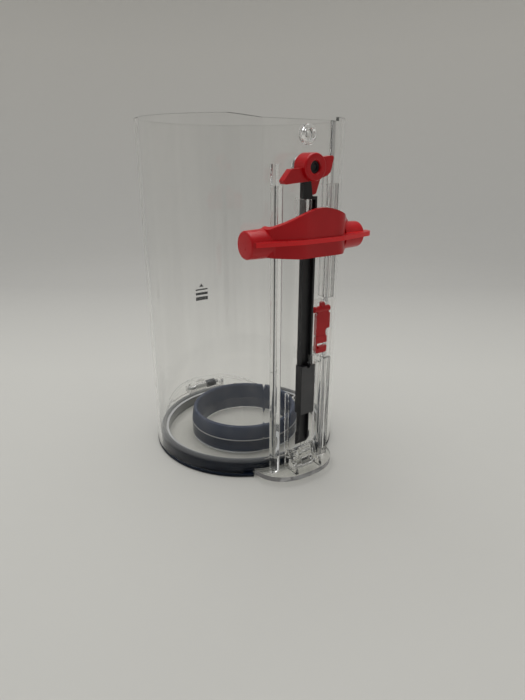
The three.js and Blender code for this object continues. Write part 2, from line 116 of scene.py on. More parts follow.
def filleted(corners, radius=0.4, steps=5):
    """A polygon with rounded corners. A corner may carry its own radius as a third number.

    Known fault: slerp returns a vector of length 1, so each arc is drawn 1 mm from its centre whatever the
    radius. A corner under 1 mm stands proud and a larger one is cut too deep. Multiplying the result of
    slerp by first.length mends it, but changes the shape of most pieces.
    """
    points = []
    for i, corner in enumerate(corners):
        here = Vector(corner[:2])
        to_last = Vector(corners[i - 1][:2]) - here
        to_next = Vector(corners[(i + 1) % len(corners)][:2]) - here
        r = corner[2] if len(corner) > 2 else radius
        half = to_last.angle(to_next) / 2
        if r < 1e-6 or half > 1.56:
            points.append(tuple(here))
            continue
        reach = min(r / math.tan(half), 0.49 * min(to_last.length, to_next.length))
        a, b = to_last.normalized(), to_next.normalized()
        centre = here + (a + b).normalized() * (reach / math.cos(half))
        first, last = here + a * reach - centre, here + b * reach - centre
        points += [tuple(centre + first.slerp(last, k / steps)) for k in range(steps + 1)]
    return points


def slab(u0, u1, v0, v1, radius=0.4, steps=5):
    """A rounded rectangle."""
    return filleted([(u0, v0), (u1, v0), (u1, v1), (u0, v1)], radius, steps)


# ------------------------------------------------------------------ closed meshes
def closed(bm):
    bmesh.ops.recalc_face_normals(bm, faces=bm.faces)
    mesh = bpy.data.meshes.new("solid")
    bm.to_mesh(mesh)
    bm.free()
    return mesh


def prism(points, low, high, place):
    """A closed outline raised from low to high. place turns (u, v, height) into x, y, z."""
    bm = bmesh.new()
    rings = [[bm.verts.new(Vector(place(u, v, w)) * MM) for u, v in points] for w in (low, high)]
    for ring in rings:
        bm.faces.new(ring)
    for i in range(len(points)):
        j = (i + 1) % len(points)
        bm.faces.new((rings[0][i], rings[0][j], rings[1][j], rings[1][i]))
    return closed(bm)


def plan(points, z0, z1):
    """An outline seen from above, raised from z0 to z1."""
    return prism(points, z0, z1, lambda u, v, w: (u, v, w))


def facing(points, r0, r1):
    """An outline seen from the front, as (x, z), between two depths."""
    return prism(points, r0, r1, lambda u, v, w: (u, -w, v))


def sideways(points, x0, x1):
    """An outline seen from the side, as (r, z), between two places in x."""
    return prism(points, x0, x1, lambda u, v, w: (w, -u, v))


def block(x0, x1, r0, r1, z0, z1):
    """A box for cutting, in front of the axis."""
    return plan([(x0, -r1), (x1, -r1), (x1, -r0), (x0, -r0)], z0, z1)


def turned(profile, segments=FINE, place=lambda x, y, h: (x, y, h)):
    """A closed profile of (radius, height) points turned about an axis. Points at radius 0 close the ends."""
    bm = bmesh.new()
    rings = []
    for r, h in profile:
        count = 1 if r < 1e-6 else segments
        ring = [2 * math.pi * k / segments for k in range(count)]
        rings.append([bm.verts.new(Vector(place(r * math.cos(a), r * math.sin(a), h)) * MM) for a in ring])
    for i, ring in enumerate(rings):
        after = rings[(i + 1) % len(rings)]
        for k in range(segments):
            n = (k + 1) % segments
            corners = [ring[k % len(ring)], ring[n % len(ring)], after[n % len(after)], after[k % len(after)]]
            corners = list(dict.fromkeys(corners))
            if len(corners) > 2:
                bm.faces.new(corners)
    return closed(bm)


def along_x(y, z):
    return lambda a, b, h: (h, y + a, z + b)


def along_front(x, z):
    return lambda a, b, h: (x + a, -h, z + b)


def bar(r, h0, h1, place, segments=64, edge=0.0):
    """A round bar whose ends may be chamfered."""
    ends = [(0, h0), (r - edge, h0), (r, h0 + edge), (r, h1 - edge), (r - edge, h1), (0, h1)]
    return turned(list(dict.fromkeys(ends)), segments, place)


def tube(r0, r1, z0, z1, radius=0.3, segments=FINE):
    return turned(slab(r0, r1, z0, z1, radius, 4), segments)


def merge(operation, whole, tools):
    """Blender's manifold booleans, one after another, as a new mesh."""
    scene = bpy.context.scene.collection
    body = bpy.data.objects.new("whole", whole)
    scene.objects.link(body)
    parts = []
    for tool in tools:
        part = bpy.data.objects.new("part", tool)
        scene.objects.link(part)
        parts.append(part)
        step = body.modifiers.new("step", "BOOLEAN")
        step.operation = operation
        step.solver = "MANIFOLD"
        step.object = part
    depsgraph = bpy.context.evaluated_depsgraph_get()
    result = bpy.data.meshes.new_from_object(body.evaluated_get(depsgraph))
    for part in parts + [body]:
        bpy.data.objects.remove(part)
    return result


def join(whole, *tools):
    return merge("UNION", whole, tools)


def cut(whole, *tools):
    return merge("DIFFERENCE", whole, tools)


def common(whole, *tools):
    return merge("INTERSECT", whole, tools)


def softened(mesh, width, segments, angle=38):
    """The mesh with its sharp edges rounded, smooth across everything flatter than the angle."""
    body = bpy.data.objects.new("edges", mesh)
    bpy.context.scene.collection.objects.link(body)
    if width:
        bevel = body.modifiers.new("edges", "BEVEL")
        bevel.width = width * MM
        bevel.segments = segments
        bevel.limit_method = "ANGLE"
        bevel.angle_limit = math.radians(angle)
        bevel.use_clamp_overlap = True
        bevel.miter_outer = "MITER_ARC"
    depsgraph = bpy.context.evaluated_depsgraph_get()
    result = bpy.data.meshes.new_from_object(body.evaluated_get(depsgraph))
    bpy.data.objects.remove(body)
    result.polygons.foreach_set("use_smooth", [True] * len(result.polygons))
    result.set_sharp_from_angle(angle=math.radians(angle))
    return result


def piece(name, mesh, body, material, nodes=(), width=0.2, segments=2, patches=()):
    """A finished piece: edges softened, shaded, painted, and riding on its body in place of its CAD nodes.
    patches holds pairs of a material and a test of a face's middle and normal."""
    shape = bpy.data.objects.new(name, softened(mesh, width, segments))
    shape.data.name = name
    shape.data.materials.clear()
    shape.data.materials.append(material)
    shape.data.polygons.foreach_set("material_index", [0] * len(shape.data.polygons))
    for index, (paint, chosen) in enumerate(patches):
        shape.data.materials.append(paint)
        for face in shape.data.polygons:
            if chosen(face.center / MM, face.normal):
                face.material_index = index + 1
    bpy.context.scene.collection.objects.link(shape)
    shape.modifiers.new("shading", "WEIGHTED_NORMAL").keep_sharp = True
    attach(shape, body)
    if nodes:
        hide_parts(*nodes)
    return shape


# ------------------------------------------------------------------ materials
class Paint:
    """A small builder for a node material."""

    def __init__(self, name):
        self.material = bpy.data.materials.new(name)
        self.material.use_nodes = True
        self.tree = self.material.node_tree
        self.surface = self.tree.nodes["Principled BSDF"]
        self.output = self.tree.nodes["Material Output"]
        self.place = self.add("ShaderNodeTexCoord").outputs["Object"]

    def add(self, kind, **settings):
        node = self.tree.nodes.new(kind)
        for key, value in settings.items():
            setattr(node, key, value)
        return node

    def link(self, source, target):
        self.tree.links.new(source, target)

    def noise(self, scale, detail=4.0, rough=0.6, stretch=(1, 1, 1)):
        """Noise over the object, with the scale in features per metre."""
        mapping = self.add("ShaderNodeMapping")
        mapping.inputs["Scale"].default_value = stretch
        texture = self.add("ShaderNodeTexNoise")
        texture.inputs["Scale"].default_value = scale
        texture.inputs["Detail"].default_value = detail
        texture.inputs["Roughness"].default_value = rough
        self.link(self.place, mapping.inputs["Vector"])
        self.link(mapping.outputs["Vector"], texture.inputs["Vector"])
        return texture.outputs["Fac"]

    def remap(self, source, from_low, from_high, to_low, to_high):
        node = self.add("ShaderNodeMapRange")
        limits = (("From Min", from_low), ("From Max", from_high), ("To Min", to_low), ("To Max", to_high))
        for key, value in limits:
            node.inputs[key].default_value = value
        self.link(source, node.inputs["Value"])
        return node.outputs["Result"]

    def mix(self, factor, a, b):
        """Two colours mixed by a factor."""
        node = self.add("ShaderNodeMix", data_type="RGBA")
        self.link(factor, node.inputs["Factor"])
        for socket, value in ((node.inputs[6], a), (node.inputs[7], b)):
            if isinstance(value, tuple):
                socket.default_value = (*value, 1)
            else:
                self.link(value, socket)
        return node.outputs[2]

    def blend(self, factor, a, b):
        """Two shaders mixed by a factor, which is a number or a socket."""
        node = self.add("ShaderNodeMixShader")
        if isinstance(factor, float):
            node.inputs["Fac"].default_value = factor
        else:
            self.link(factor, node.inputs["Fac"])
        self.link(a, node.inputs[1])
        self.link(b, node.inputs[2])
        return node.outputs["Shader"]

    def multiply(self, a, b):
        node = self.add("ShaderNodeMath", operation="MULTIPLY")
        self.link(a, node.inputs[0])
        self.link(b, node.inputs[1])
        return node.outputs[0]

    def bump(self, height, strength, distance):
        node = self.add("ShaderNodeBump")
        node.inputs["Strength"].default_value = strength
        node.inputs["Distance"].default_value = distance * MM
        self.link(height, node.inputs["Height"])
        self.link(node.outputs["Normal"], self.surface.inputs["Normal"])

    def set(self, **values):
        for key, value in values.items():
            self.surface.inputs[key.replace("_", " ")].default_value = value

    def feed(self, key, source):
        self.link(source, self.surface.inputs[key])


def fill_with_smoke(paint):
    """The faint absorption inside the clear plastic."""
    smoke = paint.add("ShaderNodeVolumeAbsorption")
    smoke.inputs["Color"].default_value = (0.0, 0.06, 0.02, 1)
    smoke.inputs["Density"].default_value = ABSORPTION
    paint.link(smoke.outputs["Volume"], paint.output.inputs["Volume"])


def clear_plastic(name, tint, shade, bend=1.46, low_bend=None, corner=0.0):
    """Polished plastic with faint flow lines, scuffs and upright milky bands, partly a frosting of the
    plastic and partly painted reflection streaks.

    Light on its way to another piece passes straight through, dimmed at a glancing angle, so the wall casts
    a pale shadow. A ray that stays trapped in the wall ends in a glow of the room's grey, painted light that
    stands in for the room. bend is the refractive index and low_bend the index near the floor. corner is the
    strength of the painted grey shade down the right front corner, which stands in for the dark line the
    corner makes by refraction.
    """
    paint = Paint(name)
    parts = paint.add("ShaderNodeSeparateXYZ")
    paint.link(paint.place, parts.inputs["Vector"])
    paint.set(Transmission_Weight=1.0, IOR=bend, Base_Color=(*tint, 1))
    if low_bend:
        paint.feed("IOR", paint.remap(parts.outputs["Z"], 0.012, 0.07, low_bend, bend))
    scuffs = paint.noise(420, 6, 0.7, (1, 1, 0.25))
    paint.feed("Roughness", paint.remap(scuffs, 0.45, 0.8, 0.0, 0.04))
    round_wall = paint.remap(parts.outputs["Y"], -0.052, -0.045, 0, 1)
    paint.bump(paint.multiply(round_wall, paint.noise(14, 1, 0.4, (1, 1, 0.3))), 0.008, 0.4)
    ray = paint.add("ShaderNodeLightPath")
    facing_ratio = paint.add("ShaderNodeLayerWeight")
    facing_ratio.inputs["Blend"].default_value = 0.3
    through = paint.add("ShaderNodeBsdfTransparent")
    dimmed = paint.mix(facing_ratio.outputs["Facing"], (0.985, 0.985, 0.98), shade)
    paint.link(dimmed, through.inputs["Color"])
    # partly a milky frosting and partly painted reflection streaks: upright bands of diffuse white mixed in
    # above the floor
    milky = paint.add("ShaderNodeBsdfDiffuse")
    milky.inputs["Color"].default_value = (0.80, 0.80, 0.79, 1)
    above = paint.remap(parts.outputs["Z"], 0.012, 0.04, 0, 1)
    haze_and_reflection_streaks = paint.multiply(above, paint.remap(paint.noise(45, 3, 0.55, (1, 1, 0.06)), 0.42, 0.75, 0.004, 0.07))
    # painted light: an emission of the room's grey for a ray caught too long in the wall
    trapped = paint.add("ShaderNodeEmission")
    trapped.inputs["Color"].default_value = (*ROOM_GREY, 1)
    deep = paint.add("ShaderNodeMath", operation="GREATER_THAN")
    deep.inputs[1].default_value = DEEPEST_RAY
    paint.link(ray.outputs["Ray Depth"], deep.inputs[0])
    straight = paint.add("ShaderNodeMath", operation="MAXIMUM")
    paint.link(ray.outputs["Is Shadow Ray"], straight.inputs[0])
    paint.link(ray.outputs["Is Diffuse Ray"], straight.inputs[1])
    hazed = paint.blend(haze_and_reflection_streaks, paint.surface.outputs["BSDF"], milky.outputs["BSDF"])
    # painted shade: a grey diffuse band down the right front corner of the wall, standing in for the dark
    # line the corner makes by refraction
    if corner:
        grey = paint.add("ShaderNodeBsdfDiffuse")
        grey.inputs["Color"].default_value = (0.15, 0.15, 0.16, 1)
        across = paint.multiply(paint.remap(parts.outputs["X"], *CORNER_SHADE_LEFT, 0, corner),
                                paint.remap(parts.outputs["X"], *CORNER_SHADE_RIGHT, 1, 0))
        in_front = paint.remap(parts.outputs["Y"], -0.050, -0.049, 1, 0)
        corner_shade_wall_mask = paint.multiply(in_front, paint.remap(parts.outputs["Y"], -0.0547, -0.0545, 0, 1))
        hazed = paint.blend(paint.multiply(across, corner_shade_wall_mask), hazed, grey.outputs["BSDF"])
    open_ray = paint.blend(straight.outputs[0], hazed, through.outputs["BSDF"])
    finish = paint.blend(deep.outputs[0], open_ray, trapped.outputs["Emission"])
    paint.link(finish, paint.output.inputs["Surface"])
    fill_with_smoke(paint)
    return paint.material


def moulded(name, dark, light, roughness, grain, sheen=0.0, gloss=0.5):
    """Opaque moulded plastic: slow colour drift, spark-eroded grain and a few polished wear marks."""
    paint = Paint(name)
    drift = paint.noise(60, 3, 0.5)
    paint.feed("Base Color", paint.mix(paint.remap(drift, 0.35, 0.65, 0, 1), dark, light))
    uneven = paint.noise(260, 5, 0.65)
    paint.feed("Roughness", paint.remap(uneven, 0.3, 0.75, roughness - 0.07, roughness + 0.09))
    paint.bump(paint.noise(2600, 3, 0.6), grain, 0.05)
    paint.set(Specular_IOR_Level=gloss, Coat_Weight=sheen, Coat_Roughness=0.15)
    return paint.material


def rubber(name, base, dust, roughness, cover):
    """Rubber with a film of fine dust and a few light specks."""
    paint = Paint(name)
    film = paint.remap(paint.noise(90, 6, 0.7), 0.42, 0.75, 0, cover)
    specks = paint.add("ShaderNodeTexVoronoi", feature="F1")
    specks.inputs["Scale"].default_value = 330
    paint.link(paint.place, specks.inputs["Vector"])
    dots = paint.remap(specks.outputs["Distance"], 0.05, 0.11, 1, 0)
    picked = paint.remap(paint.noise(120, 2, 0.5), 0.56, 0.62, 0, 0.55)
    filmed = paint.mix(film, base, dust)
    paint.feed("Base Color", paint.mix(paint.multiply(dots, picked), filmed, (0.42, 0.44, 0.46)))
    uneven = paint.noise(200, 4, 0.6)
    paint.feed("Roughness", paint.remap(uneven, 0.3, 0.7, roughness - 0.08, roughness + 0.08))
    paint.bump(paint.noise(500, 3, 0.6), 0.04, 0.04)
    paint.set(Specular_IOR_Level=0.22)
    return paint.material


def painted_edge_plastic(name, colour, clear):
    """A narrow edge of the clear plastic, painted with light or shade that stands in for what the wall
    gathers from inside it.
    """
    paint = Paint(name)
    cloud = paint.noise(60, 3, 0.6)
    paint.feed("Base Color", paint.mix(cloud, colour, tuple(c * 0.8 for c in colour)))
    paint.feed("Roughness", paint.remap(cloud, 0.3, 0.7, 0.15, 0.3))
    paint.bump(paint.noise(500, 3, 0.5), 0.03, 0.05)
    through = paint.add("ShaderNodeBsdfTransparent")
    paint.link(paint.blend(clear, paint.surface.outputs["BSDF"], through.outputs["BSDF"]),
               paint.output.inputs["Surface"])
    fill_with_smoke(paint)
    return paint.material


def band_rubber():
    """The base seal: black outside and low down, a lighter grey towards its top and on its inner face."""
    paint = Paint("black_rubber")
    parts = paint.add("ShaderNodeSeparateXYZ")
    paint.link(paint.place, parts.inputs["Vector"])
    wear = paint.noise(150, 5, 0.65)
    height = paint.remap(parts.outputs["Z"], 0.0078, 0.0092, 0, 1)
    flat = paint.add("ShaderNodeVectorMath", operation="MULTIPLY")
    flat.inputs[1].default_value = (1, 1, 0)
    paint.link(paint.place, flat.inputs[0])
    radius = paint.add("ShaderNodeVectorMath", operation="LENGTH")
    paint.link(flat.outputs["Vector"], radius.inputs[0])
    inner = paint.remap(radius.outputs["Value"], 0.0541, 0.0544, 1, 0)
    # the seal is lighter grey towards its top and on its inner face
    dark = paint.mix(wear, (0.002, 0.005, 0.014), (0.007, 0.013, 0.027))
    worn = paint.mix(wear, (0.09, 0.095, 0.105), (0.15, 0.155, 0.165))
    paint.feed("Base Color", paint.mix(inner, paint.mix(height, dark, worn), (0.21, 0.215, 0.215)))
    paint.feed("Roughness", paint.remap(wear, 0.3, 0.7, 0.35, 0.5))
    paint.bump(wear, 0.1, 0.03)
    paint.set(Specular_IOR_Level=0.15)
    return paint.material


def metal(name, colour, roughness):
    """Drawn steel with fine lines along its length."""
    paint = Paint(name)
    paint.set(Metallic=1.0)
    paint.feed("Base Color", paint.mix(paint.noise(500, 4, 0.6), colour, tuple(c * 0.7 for c in colour)))
    drawn = paint.noise(1500, 4, 0.7, (0.2, 1, 1))
    paint.feed("Roughness", paint.remap(drawn, 0.3, 0.7, roughness, roughness + 0.2))
    paint.bump(paint.noise(3000, 3, 0.6, (0.1, 1, 1)), 0.2, 0.02)
    return paint.material


def ink(name):
    paint = Paint(name)
    worn = paint.remap(paint.noise(900, 5, 0.7), 0.35, 0.7, 0, 1)
    paint.feed("Base Color", paint.mix(worn, (0.012, 0.013, 0.016), (0.05, 0.052, 0.058)))
    paint.feed("Roughness", paint.remap(worn, 0, 1, 0.45, 0.6))
    paint.bump(worn, 0.2, 0.01)
    return paint.material


CLEAR = clear_plastic("clear_body", (0.99, 0.99, 0.985), (0.8, 0.8, 0.8), 1.46, 1.2, 0.24)
CLEAR_GUIDE = clear_plastic("clear_guide", (0.99, 0.99, 0.985), (0.9, 0.9, 0.9), 1.2)
CLEAR_FLAP = clear_plastic("clear_flap", (0.985, 0.98, 0.96), (0.9, 0.9, 0.88))
CLEAR_RING = clear_plastic("clear_ring", (0.93, 0.95, 0.98), (0.9, 0.9, 0.88), 1.22)
# painted shade: a dark line along the body's rim, standing in for the dark edge the wall shows there
RIM_SHADE = painted_edge_plastic("clear_rim_painted_shade", (0.06, 0.065, 0.065), 0.6)
# painted highlight along narrow edges of the clear parts
GLINT = painted_edge_plastic("clear_painted_glint", (0.72, 0.73, 0.74), 0.15)
# painted shade: a dark line on edges of the rails
LINE_SHADE = painted_edge_plastic("clear_painted_dark_line", (0.05, 0.05, 0.055), 0.45)
# painted light: a pale edge for the toe's upright face
TOE_EDGE_LIGHT = painted_edge_plastic("clear_painted_light_edge", (0.56, 0.55, 0.57), 0.5)
RED = moulded("red_plastic", (0.50, 0.002, 0.007), (0.58, 0.003, 0.009), 0.33, 0.10, 0.1, 0.35)
# painted light: a brighter red for the handle's fin, lit from above
RED_LIT_FIN = moulded("red_fin_painted_light", (0.84, 0.012, 0.018), (0.90, 0.014, 0.02), 0.32, 0.05, 0.1, 0.4)
BLACK = moulded("black_plastic", (0.008, 0.008, 0.010), (0.016, 0.016, 0.018), 0.42, 0.12, 0.0, 0.42)
SLATE = rubber("slate_rubber", (0.045, 0.057, 0.095), (0.10, 0.115, 0.15), 0.62, 0.6)
RUBBER = band_rubber()
# painted light: a lighter black for the lit front face of the rod's lump
BLACK_LIT_FACE = moulded(
    "black_plastic_painted_lit_face", (0.055, 0.055, 0.059), (0.078, 0.078, 0.082), 0.42, 0.12, 0.0, 0.42,
)
STEEL = metal("steel", (0.62, 0.62, 0.63), 0.22)
DARK_STEEL = metal("dark_steel", (0.14, 0.145, 0.155), 0.35)
INK = ink("level_mark_ink")


# ------------------------------------------------------------------ clear body
def body_outline(inset, corner=3.8):
    """The body in plan: a circle with its front cut flat, the two corners rounded."""
    r, p = BODY_R - inset, PANEL_R - inset
    f = max(corner - inset, 0.7)
    cy = f - p
    cx = math.sqrt((r - f) ** 2 - cy**2)
    side = math.degrees(math.atan2(cy, cx))
    round_part = [a * 360 / FINE for a in range(-FINE // 4, 3 * FINE // 4 + 1)]
    inside = [a for a in round_part if side + 0.3 < a < 179.7 - side]
    big = [(r * math.cos(math.radians(a)), r * math.sin(math.radians(a))) for a in inside]
    return arc(cx, cy, f, -90, side, 8) + big + arc(-cx, cy, f, 180 - side, 270, 8)


def hood_block(inset, bottom):
    """The bulge that covers the hinge: round in plan, limited by an arch seen from behind."""
    half, height = HOOD_HALF, HOOD_ARCH
    side = math.sqrt(BODY_R**2 - half**2)
    sag = HOOD_APEX - side
    bulge = (half**2 + sag**2) / (2 * sag)
    arch = (half**2 + height**2) / (2 * height)
    round_plan = plan(circle(bulge - inset, 512, 0, HOOD_APEX - bulge), bottom, height + 1)
    outline = circle(arch - inset, 192, 0, height - arch)
    roof = prism(outline, 30, 80, lambda u, v, w: (u, w, v - HOOD_LEAN * (w - BODY_R)))
    return common(round_plan, roof)


def rail(side):
    """One L-shaped rail of the runner with its fin at the top and its thicker root at the bottom."""
    def across(points):
        ordered = [(side * x, -r) for x, r in points]
        return ordered if side > 0 else ordered[::-1]

    root = PANEL_R - 1
    hook = [(15.2, root), (17.4, root), (17.4, 59.7, 0.5), (20, 59.7, 0.3), (20, RAIL_R, 0.4),
            (15.2, RAIL_R, 0.5)]
    main = plan(across(filleted(hook, 0.0)), RAIL_FOOT, RAIL_TOP)
    fin = plan(across(slab(15.6, 16.8, root, 58.7, 0.3)), RAIL_TOP - 1, 173.7)
    low = filleted([(14.6, root), (16, root), (16, RAIL_R - 1.8, 0.3), (14.6, RAIL_R - 1.8, 0.5)], 0.0)
    rib = plan(across(low), RAIL_FOOT, 69)
    slope = sideways([(54, 66), (RAIL_R, 66), (RAIL_R, 71), (57, 71)], *sorted((side * 14, side * 15.1)))
    return join(main, fin, cut(rib, slope))


def pocket_frame():
    """The frame round the release button, with seats for its trunnions."""
    x0, x1, z0, z1 = 6.4, 20.2, 68.2, 105.0
    outer = facing(slab(x0, x1, z0, z1, 3.5, 10), PANEL_R - 1, RAIL_R)
    inner = facing(slab(x0 + 1.1, x1 - 1.1, z0 + 1.1, z1 - 1.1, 2.5, 8), PANEL_R, RAIL_R + 1)
    seats = bar(1.8, x0 + 0.3, x1 - 0.3, along_x((BUTTON_LOW.y + BUTTON_HIGH.y) / 2, BUTTON_Z), 48)
    return cut(outer, inner, seats)


def boss():
    """The round boss near the rim: a shallow ring with a nub in its middle."""
    ring = filleted([(3.0, 54), (4.7, 54), (4.6, BOSS_FACE, 0.8), (3.1, BOSS_FACE, 0.5)], 0, 5)
    nub = [(0, 54), (1.4, 54), (1.3, BOSS_FACE - 1.1), (0.9, BOSS_FACE - 0.7), (0, BOSS_FACE - 0.6)]
    place = along_front(BOSS_X, BOSS_Z)
    return turned(ring, 96, place), turned(nub, 64, place)


def arm_slot(y0, y1, z0, z1):
    """The room the flap's hinge arm needs."""
    x0, x1 = ARM_X0 - 0.4, ARM_X1 + 0.4
    return plan([(x0, y0), (x1, y0), (x1, y1), (x0, y1)], z0, z1)


def shell_mesh():
    outer, inner = body_outline(0), body_outline(WALL)
    walls = cut(plan(outer, LEDGE - 0.8, BODY_TOP), plan(inner, LEDGE - 2, BODY_TOP + 2))
    skirt = cut(plan(circle(BODY_R), BODY_LOW, LEDGE), plan(circle(BODY_R - WALL), BODY_LOW - 1, LEDGE + 1))
    ledge = cut(plan(circle(BODY_R), LEDGE - 1.6, LEDGE), plan(inner, LEDGE - 3, LEDGE + 1))
    hood = cut(
        hood_block(0, 4),
        hood_block(1.6, 0),
        plan(circle(BODY_R - 1), 0, 40),
        arm_slot(BODY_R + 0.4, 80, 0, 12.2),
    )
    ears = []
    for x0, x1 in ((PIN_LOW.x - 0.4, ARM_X0 - 0.4), (12.8, PIN_HIGH.x + 0.4)):
        ear = plan([(x0, BODY_R - 1), (x1, BODY_R - 1), (x1, HOOD_APEX), (x0, HOOD_APEX)], HINGE_Z - 2.8, 22)
        ears.append(common(ear, hood_block(0.6, 3)))
    peg_boss = turned([(2.1, PANEL_R - 1), (4.8, PANEL_R - 1), (4.6, 58), (4.3, 58.3), (2.1, 58.3)], 64,
                      along_front(0, ROCKER_Z))
    strikers = [block(x, x + 2, BODY_R - 1.2, 60.3, LEDGE - 1.8, LEDGE) for x in (-6.6, 4.6)]
    ribs = [block(x, x + 1, PANEL_R - 1, 58, LEDGE - 0.8, RIB_TOP) for x in (-6.6, 5.6)]
    spring_rest = block(-1.2, 1.2, PANEL_R - 1, 65.6, 44.6, 46.6)
    right_rail = cut(rail(1), block(14, 20.6, PANEL_R, 63, 68.7, 104.5))
    whole = join(
        skirt, ledge, walls, hood, *ears, rail(-1), right_rail, pocket_frame(), *boss(), peg_boss,
        *strikers, *ribs, spring_rest,
    )
    sector = math.radians(TOE_SECTOR + 6)
    front_gap = [(0, 0), (-64 * math.sin(sector), -64 * math.cos(sector)), (0, -90),
                 (64 * math.sin(sector), -64 * math.cos(sector))]
    return cut(
        whole,
        facing([(-36, BODY_TOP + 0.1), (-22, BODY_TOP - 2), (27.6, BODY_TOP - 2), (27.6, BODY_TOP + 2),
                (-36, BODY_TOP + 2)], 40, 62),
        plan(circle(BODY_R - WALL), 0, LEDGE - 1.6),
        plan(front_gap, 0, RAIL_FOOT - 0.1),
        plan([(-39, 38), (39, 38), (39, 60), (-39, 60)], 0, 5.8),
        bar(HINGE_BORE, PIN_LOW.x - 1, PIN_HIGH.x + 1, along_x(HINGE_Y, HINGE_Z)),
    )


def on_rail_glint(at, out):
    """Whether a face belongs to the rounding of a rail's front edge nearer the middle."""
    near_edge = -at.y > RAIL_R - 0.6 and 15.1 < abs(at.x) < 15.8
    return near_edge and RAIL_FOOT < at.z < RAIL_TOP and 0.15 < abs(out.x) < 0.97


def on_rail_dark_line(at, out):
    """Whether a face belongs to a rail's outer edge or to the slope where the rail grows thicker, the places
    of a dark line of painted shade.
    """
    outer = -at.y > 59.5 and 19.5 < abs(at.x) < 20.1 and RAIL_FOOT < at.z < RAIL_TOP and abs(out.x) > 0.15
    slope = 14 < abs(at.x) < 15.2 and 65 < at.z < 71.5 and out.z > 0.3 and -at.y > PANEL_R
    return outer or slope


def level_mark():
    """Three bars of falling thickness under a small triangle, printed on the wall opposite the runner."""
    def patch(x0, x1, z0, z1, top=None):
        steps = 12
        bm = bmesh.new()
        grid = []
        for r in (BODY_R - WALL - 0.06, BODY_R - WALL + 0.02):
            low, high = [], []
            for i in range(steps + 1):
                x = x0 + (x1 - x0) * i / steps
                y = math.sqrt(r * r - x * x)
                rise = z1 if top is None else z0 + (z1 - z0) * top(i / steps)
                low.append(bm.verts.new(Vector((x, y, z0)) * MM))
                high.append(bm.verts.new(Vector((x, y, max(rise, z0 + 0.05))) * MM))
            grid.append((low, high))
        (a_low, a_high), (b_low, b_high) = grid
        for i in range(steps):
            bm.faces.new((a_low[i], a_low[i + 1], a_high[i + 1], a_high[i]))
            bm.faces.new((b_low[i], b_low[i + 1], b_high[i + 1], b_high[i]))
            bm.faces.new((a_low[i], a_low[i + 1], b_low[i + 1], b_low[i]))
            bm.faces.new((a_high[i], a_high[i + 1], b_high[i + 1], b_high[i]))
        for i in (0, steps):
            bm.faces.new((a_low[i], a_high[i], b_high[i], b_low[i]))
        return closed(bm)

    half = 4.85
    bars = [("level_bar_wide", 79.5, 82.0), ("level_bar_middle", 83.4, 85.2), ("level_bar_thin", 86.8, 87.8)]
    for name, z0, z1 in bars:
        piece(name, patch(-half, half, z0, z1), "bin_body", INK, width=0)
    peak = patch(-1.7, 1.7, 89.2, 91.6, lambda t: 1 - abs(2 * t - 1))
    piece("level_arrow", peak, "bin_body", INK, width=0)


def rod_guide(name):
    """A clip for the rod: a stem off the panel, a plate behind it, a post beside it and a lip over it."""
    low, high = span(name)
    side = 1 if high.x > 3 else -1
    back, rod_back, lip_r, face = 59.9, -ROD_HIGH.y - 0.3, 65.1, -low.y
    hook = [(0.8, PANEL_R + 0.3), (2.4, PANEL_R + 0.3), (2.4, back), (6.1, back, 0.6), (6.1, face, 0.5),
            (1.6, face, 0.4), (1.6, lip_r, 0.3), (4.6, lip_r, 0.3), (4.6, rod_back, 0.2), (0.8, rod_back)]
    outline = [(side * x, -r) for x, r in filleted(hook, 0.0)]
    return plan(outline, low.z, high.z)


# ------------------------------------------------------------------ flap, seals and catch
def toe_outline(inset=0.0):
    """The toe in plan: half a superellipse."""
    half, depth, power = 26.0 - inset, -FLAP_LOW.y - TOE_ROOT - inset, 2 / 2.4
    points = []
    for k in range(97):
        turn = math.pi * (1 + k / 96)
        across, ahead = math.cos(turn), abs(math.sin(turn)) ** power
        points.append((math.copysign(half * abs(across) ** power, across), -TOE_ROOT - depth * ahead))
    return points


def sector_plan(half_angle):
    a = math.radians(half_angle)
    return [(0, 0), (-70 * math.sin(a), -70 * math.cos(a)), (0, -98), (70 * math.sin(a), -70 * math.cos(a))]


def flap_mesh():
    plate = turned([(0, 0), (54.2, 0), (54.6, 0.4), (54.6, 1.8), (54.2, 2.2), (0, 2.2)])
    carrier = tube(51.4, 53.1, 1.7, 8, 0.35)
    spigot = tube(29.8, 31.1, 1.7, 9, 0.3)
    sector = plan(sector_plan(TOE_SECTOR - 1), -1, 9)
    apron = common(turned([(40, 0), (58.4, 0), (58.4, 2.2), (40, 2.2)]), sector)
    toe = cut(plan(toe_outline(), 2, 5), plan(circle(56.6), 0, 9))
    riser = common(turned([(56.6, 0), (58.4, 0), (58.4, 5), (56.6, 5)]), sector)
    cheek = filleted([(59.6, 4.5), (70.2, 4.5), (69, 9.2), (66, 11.4), (63.4, 15.4), (60.4, 16.6),
                      (59.6, 15.8)], 0.5)
    cheeks = [sideways(cheek, x, x + 1.8) for x in (-9.4, 7.6)]
    arm = join(
        plan([(ARM_X0, 53), (ARM_X1, 53), (ARM_X1, HINGE_Y), (ARM_X0, HINGE_Y)], 0, 2.2),
        plan([(ARM_X0, HINGE_Y - 3), (ARM_X1, HINGE_Y - 3), (ARM_X1, HINGE_Y), (ARM_X0, HINGE_Y)],
             0, HINGE_Z),
        bar(KNUCKLE_R, ARM_X0, ARM_X1, along_x(HINGE_Y, HINGE_Z), 64, 0.3),
    )
    whole = join(plate, carrier, spigot, apron, toe, riser, *cheeks, arm)
    return cut(
        whole,
        bar(CATCH_BORE, -12, 12, along_x(-CATCH_R, CATCH_Z), 32),
        bar(HINGE_BORE, ARM_X0 - 1, ARM_X1 + 1, along_x(HINGE_Y, HINGE_Z)),
    )


